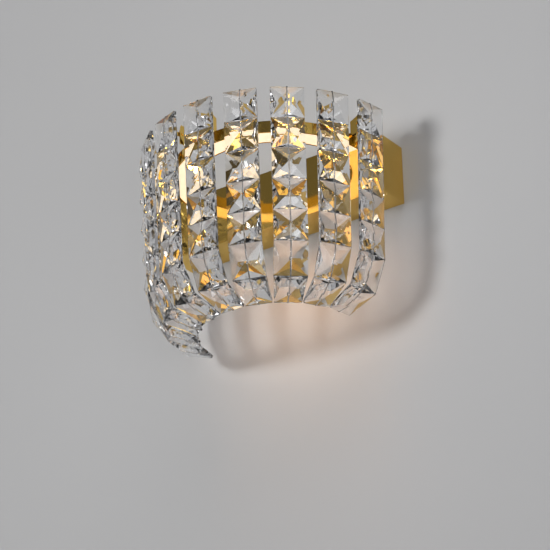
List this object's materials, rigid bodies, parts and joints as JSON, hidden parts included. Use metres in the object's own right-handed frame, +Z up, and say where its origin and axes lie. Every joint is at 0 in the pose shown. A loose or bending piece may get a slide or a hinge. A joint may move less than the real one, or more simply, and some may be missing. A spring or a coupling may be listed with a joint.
{
  "type": "crystal wall sconce",
  "caption": "Wall light with long hooked strips of cut glass squares hanging from a half ring in front of a shallow polished brass wall box, lit from a strip under the ring.",
  "frame": {"origin": "on the wall plane, midway between the two wall screw holes", "axes": "+Y into the wall, -Y towards the room, +X along the wall to the right, +Z up"},
  "size_m": [0.2648, 0.1673, 0.2015],
  "materials": {
    "polished_brass": "polished, lacquered",
    "zinc_steel": "zinc plated",
    "steel_wire": "drawn, bright",
    "clear_crystal": "clear, cut and polished facets",
    "opal_acrylic": "opal, satin, lit warm",
    "board_white": "white solder resist",
    "light_phosphor": "yellow phosphor",
    "insulator": "moulded, matte",
    "white_plastic": "moulded, satin",
    "nickel": "nickel plated",
    "black_rubber": "soft, matte",
    "brown_insulation": "smooth sleeve",
    "blue_insulation": "smooth sleeve",
    "red_insulation": "smooth sleeve",
    "green_insulation": "smooth sleeve"
  },
  "bodies": {
    "wall_unit": {"wall_bracket": "zinc_steel", "cover_box": "polished_brass", "cover_screws": "polished_brass", "ring_band": "polished_brass", "ring_inner_band": "polished_brass", "ring_roof": "polished_brass", "ring_feet": "polished_brass", "ring_screws": "zinc_steel", "hanger_fins": "polished_brass", "hanger_pins": "polished_brass", "light_board": "board_white", "light_chips": "light_phosphor", "board_plug": "white_plastic", "light_diffuser": "opal_acrylic", "light_driver": "white_plastic", "cable_grommet": "black_rubber", "terminal_block": "insulator", "terminal_screws": "zinc_steel", "line_lead": "brown_insulation", "neutral_lead": "blue_insulation", "light_leads": "red_insulation", "earth_lead": "green_insulation", "earth_lug": "nickel", "earth_screw": "zinc_steel"},
    "hanging_crystal_1": {"crystal_1": "clear_crystal", "crystal_wire_1": "steel_wire", "crystal_hook_1": "polished_brass"},
    "hanging_crystal_2": {"crystal_2": "clear_crystal", "crystal_wire_2": "steel_wire", "crystal_hook_2": "polished_brass"},
    "hanging_crystal_3": {"crystal_3": "clear_crystal", "crystal_wire_3": "steel_wire", "crystal_hook_3": "polished_brass"},
    "hanging_crystal_4": {"crystal_4": "clear_crystal", "crystal_wire_4": "steel_wire", "crystal_hook_4": "polished_brass"},
    "hanging_crystal_5": {"crystal_5": "clear_crystal", "crystal_wire_5": "steel_wire", "crystal_hook_5": "polished_brass"},
    "hanging_crystal_6": {"crystal_6": "clear_crystal", "crystal_wire_6": "steel_wire", "crystal_hook_6": "polished_brass"},
    "hanging_crystal_7": {"crystal_7": "clear_crystal", "crystal_wire_7": "steel_wire", "crystal_hook_7": "polished_brass"},
    "hanging_crystal_8": {"crystal_8": "clear_crystal", "crystal_wire_8": "steel_wire", "crystal_hook_8": "polished_brass"},
    "hanging_crystal_9": {"crystal_9": "clear_crystal", "crystal_wire_9": "steel_wire", "crystal_hook_9": "polished_brass"}
  },
  "joints": [
    {"name": "crystal_hinge_1", "type": "hinge", "parent": "wall_unit", "child": "hanging_crystal_1", "pos_m": [-0.10784, -0.05188, 0.04], "axis": [-0.1736, 0.9848, 0], "range_deg": [0, 15]},
    {"name": "crystal_hinge_2", "type": "hinge", "parent": "wall_unit", "child": "hanging_crystal_2", "pos_m": [-0.09483, -0.08762, 0.04], "axis": [-0.5, 0.866, 0], "range_deg": [0, 15]},
    {"name": "crystal_hinge_3", "type": "hinge", "parent": "wall_unit", "child": "hanging_crystal_3", "pos_m": [-0.07039, -0.11675, 0.04], "axis": [-0.766, 0.6428, 0], "range_deg": [0, 15]},
    {"name": "crystal_hinge_4", "type": "hinge", "parent": "wall_unit", "child": "hanging_crystal_4", "pos_m": [-0.03745, -0.13576, 0.04], "axis": [-0.9397, 0.342, 0], "range_deg": [0, 15]},
    {"name": "crystal_hinge_5", "type": "hinge", "parent": "wall_unit", "child": "hanging_crystal_5", "pos_m": [0, -0.14237, 0.04], "axis": [-1, 0, 0], "range_deg": [0, 15]},
    {"name": "crystal_hinge_6", "type": "hinge", "parent": "wall_unit", "child": "hanging_crystal_6", "pos_m": [0.03745, -0.13576, 0.04], "axis": [-0.9397, -0.342, 0], "range_deg": [0, 15]},
    {"name": "crystal_hinge_7", "type": "hinge", "parent": "wall_unit", "child": "hanging_crystal_7", "pos_m": [0.07039, -0.11675, 0.04], "axis": [-0.766, -0.6428, 0], "range_deg": [0, 15]},
    {"name": "crystal_hinge_8", "type": "hinge", "parent": "wall_unit", "child": "hanging_crystal_8", "pos_m": [0.09483, -0.08762, 0.04], "axis": [-0.5, -0.866, 0], "range_deg": [0, 15]},
    {"name": "crystal_hinge_9", "type": "hinge", "parent": "wall_unit", "child": "hanging_crystal_9", "pos_m": [0.10784, -0.05188, 0.04], "axis": [-0.1736, -0.9848, 0], "range_deg": [0, 15]}
  ]
}
